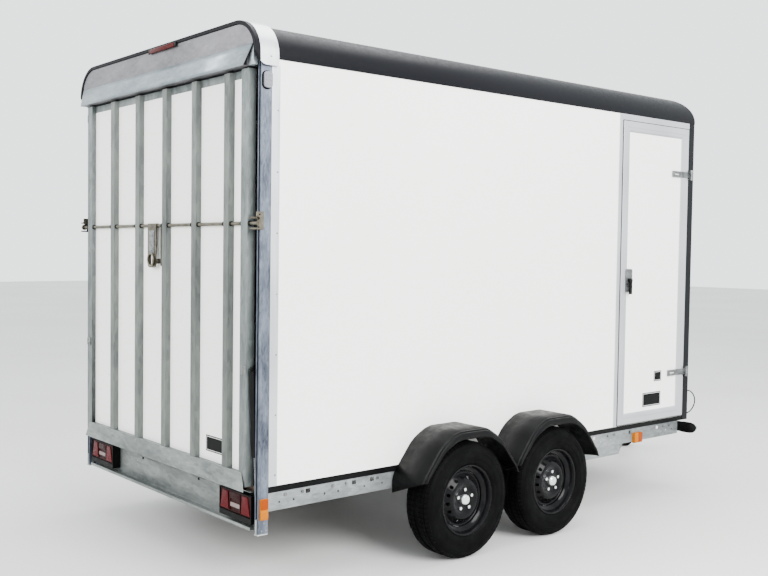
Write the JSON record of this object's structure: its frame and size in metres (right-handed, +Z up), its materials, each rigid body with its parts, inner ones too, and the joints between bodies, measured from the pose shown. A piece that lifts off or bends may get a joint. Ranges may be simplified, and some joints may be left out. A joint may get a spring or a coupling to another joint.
{
  "type": "livestock trailer",
  "caption": "Enclosed tandem-axle box trailer with rear loading ramp on gas struts, side door, drawbar with overrun coupling and nose wheel.",
  "frame": {"origin": "on the ground, at the middle of the whole length and width", "axes": "+X to the right-hand side, +Y the direction of travel, +Z up"},
  "size_m": [2.422, 5.188, 2.824],
  "materials": {
    "galvanised_steel": "mottled hot-dip galvanising",
    "white_panel": "satin glass-fibre face",
    "roof_sheet": "satin",
    "floor_wood": "coated plywood",
    "anthracite_profile": "soft sheen",
    "aluminium_trim": "satin anodised",
    "black_plastic": "moulded, fine grain",
    "black_rubber": "matt",
    "tyre_rubber": "moulded tread and sidewall",
    "gloss_black_steel": "gloss",
    "red_lens": "ribbed lens",
    "amber_lens": "ribbed lens",
    "clear_lens": "ribbed lens",
    "zinc_hardware": "passivated zinc",
    "black_steel": "satin",
    "cast_housing": "painted"
  },
  "bodies": {
    "chassis": {"chassis_frame": "galvanised_steel", "rear_beam": "galvanised_steel", "corner_posts": "galvanised_steel", "post_feet": "galvanised_steel", "floor_panel": "floor_wood", "floor_edge_trim": "black_plastic", "wall_left": "white_panel", "wall_right": "white_panel", "wall_front": "white_panel", "roof_panel": "roof_sheet", "edge_profiles": "anthracite_profile", "rear_arch": "aluminium_trim", "rear_rim": "anthracite_profile", "header_hood": "galvanised_steel", "wall_trims": "aluminium_trim", "tail_lamp_housings": "black_plastic", "red_lenses": "red_lens", "amber_markers": "amber_lens", "clear_lamps": "clear_lens", "outline_lamps": "black_rubber", "axle_beam_rear": "galvanised_steel", "axle_beam_front": "galvanised_steel", "mudguards": "black_plastic", "hinge_lugs": "zinc_hardware", "latch_keepers": "zinc_hardware", "drawbar_beams": "galvanised_steel", "overrun_housing": "cast_housing", "bellows": "black_rubber", "trailer_cable": "black_rubber", "chassis_bolts": "zinc_hardware"},
    "ramp": {"ramp_frame": "galvanised_steel", "ramp_panel": "white_panel", "ramp_bars": "galvanised_steel", "ramp_apron": "galvanised_steel"},
    "lock": {"lock_rod": "zinc_hardware"},
    "strut_rod": {"strut_rods": "zinc_hardware"},
    "strut_cylinder": {"strut_cylinders": "black_steel"},
    "door": {"door_panel": "white_panel", "door_frame": "aluminium_trim", "door_straps": "zinc_hardware"},
    "door_handle": {"door_lever": "black_steel"},
    "coupling": {"draw_tube": "zinc_hardware", "coupling_head": "cast_housing"},
    "coupling_grip": {"coupling_handle": "black_steel"},
    "handbrake": {"handbrake_lever": "black_steel"},
    "nose_leg": {"nose_inner_tube": "zinc_hardware"},
    "nose_roller": {"nose_wheel": "black_rubber"},
    "nose_winder": {"nose_crank": "zinc_hardware"},
    "arm_rear_left": {"swing_arm_rear_left": "galvanised_steel"},
    "wheel_rear_left": {"tyre_rear_left": "tyre_rubber", "rim_rear_left": "gloss_black_steel"},
    "arm_rear_right": {"swing_arm_rear_right": "galvanised_steel"},
    "wheel_rear_right": {"tyre_rear_right": "tyre_rubber", "rim_rear_right": "gloss_black_steel"},
    "arm_front_left": {"swing_arm_front_left": "galvanised_steel"},
    "wheel_front_left": {"tyre_front_left": "tyre_rubber", "rim_front_left": "gloss_black_steel"},
    "arm_front_right": {"swing_arm_front_right": "galvanised_steel"},
    "wheel_front_right": {"tyre_front_right": "tyre_rubber", "rim_front_right": "gloss_black_steel"}
  },
  "joints": [
    {"name": "ramp_hinge", "type": "hinge", "parent": "chassis", "child": "ramp", "pos_m": [0, -2.556, 0.505], "axis": [1, 0, 0], "range_deg": [0, 103.5]},
    {"name": "lock_turn", "type": "hinge", "parent": "ramp", "child": "lock", "pos_m": [0, -2.5515, 1.827], "axis": [-1, 0, 0], "range_deg": [0, 85]},
    {"name": "strut_swing", "type": "hinge", "parent": "chassis", "child": "strut_rod", "pos_m": [0, -2.509, 0.314], "axis": [1, 0, 0], "range_deg": [0, 82.2]},
    {"name": "strut_stroke", "type": "slide", "parent": "strut_rod", "child": "strut_cylinder", "axis": [0, 0.0414, -0.9991], "range_m": [0, 0.1555]},
    {"name": "door_hinge", "type": "hinge", "parent": "chassis", "child": "door", "pos_m": [0.995, 1.206, 0], "axis": [0, 0, 1], "range_deg": [0, 180]},
    {"name": "door_lever_turn", "type": "hinge", "parent": "door", "child": "door_handle", "pos_m": [0.981, 0.489, 1.513], "axis": [1, 0, 0], "range_deg": [0, 80]},
    {"name": "overrun_slide", "type": "slide", "parent": "chassis", "child": "coupling", "axis": [0, -1, 0], "range_m": [0, 0.08]},
    {"name": "coupling_release", "type": "hinge", "parent": "coupling", "child": "coupling_grip", "pos_m": [0, 2.479, 0.497], "axis": [-1, 0, 0], "range_deg": [0, 45]},
    {"name": "handbrake_pull", "type": "hinge", "parent": "chassis", "child": "handbrake", "pos_m": [0, 1.824, 0.467], "axis": [1, 0, 0], "range_deg": [0, 75]},
    {"name": "nose_leg_slide", "type": "slide", "parent": "chassis", "child": "nose_leg", "axis": [0, 0, 1], "range_m": [0, 0.1]},
    {"name": "nose_wheel_roll", "type": "hinge", "parent": "nose_leg", "child": "nose_roller", "pos_m": [-0.165, 2.194, 0.105], "axis": [1, 0, 0], "continuous": true},
    {"name": "nose_crank_turn", "type": "hinge", "parent": "chassis", "child": "nose_winder", "pos_m": [-0.165, 2.194, 0.6], "axis": [0, 0, 1], "range_deg": [0, 4501]},
    {"name": "suspension_rear_left", "type": "hinge", "parent": "chassis", "child": "arm_rear_left", "pos_m": [0, -1.123, 0.345], "axis": [1, 0, 0], "range_deg": [-12, 12], "stiffness_Nm_per_rad": 2700, "springref_deg": 6.13},
    {"name": "wheel_spin_rear_left", "type": "hinge", "parent": "arm_rear_left", "child": "wheel_rear_left", "pos_m": [0, -1.278, 0.325], "axis": [1, 0, 0], "continuous": true},
    {"name": "suspension_rear_right", "type": "hinge", "parent": "chassis", "child": "arm_rear_right", "pos_m": [0, -1.123, 0.345], "axis": [1, 0, 0], "range_deg": [-12, 12], "stiffness_Nm_per_rad": 2700, "springref_deg": 6.13},
    {"name": "wheel_spin_rear_right", "type": "hinge", "parent": "arm_rear_right", "child": "wheel_rear_right", "pos_m": [0, -1.278, 0.325], "axis": [1, 0, 0], "continuous": true},
    {"name": "suspension_front_left", "type": "hinge", "parent": "chassis", "child": "arm_front_left", "pos_m": [0, -0.366, 0.345], "axis": [1, 0, 0], "range_deg": [-12, 12], "stiffness_Nm_per_rad": 2700, "springref_deg": 6.13},
    {"name": "wheel_spin_front_left", "type": "hinge", "parent": "arm_front_left", "child": "wheel_front_left", "pos_m": [0, -0.521, 0.325], "axis": [1, 0, 0], "continuous": true},
    {"name": "suspension_front_right", "type": "hinge", "parent": "chassis", "child": "arm_front_right", "pos_m": [0, -0.366, 0.345], "axis": [1, 0, 0], "range_deg": [-12, 12], "stiffness_Nm_per_rad": 2700, "springref_deg": 6.13},
    {"name": "wheel_spin_front_right", "type": "hinge", "parent": "arm_front_right", "child": "wheel_front_right", "pos_m": [0, -0.521, 0.325], "axis": [1, 0, 0], "continuous": true}
  ],
  "couplings": [
    {"joint": "strut_swing", "follows": "ramp_hinge", "ratio": 0.79186},
    {"joint": "strut_stroke", "follows": "ramp_hinge", "m_per_rad": 0.085802},
    {"joint": "nose_crank_turn", "follows": "nose_leg_slide", "rad_per_m": 785.4}
  ]
}
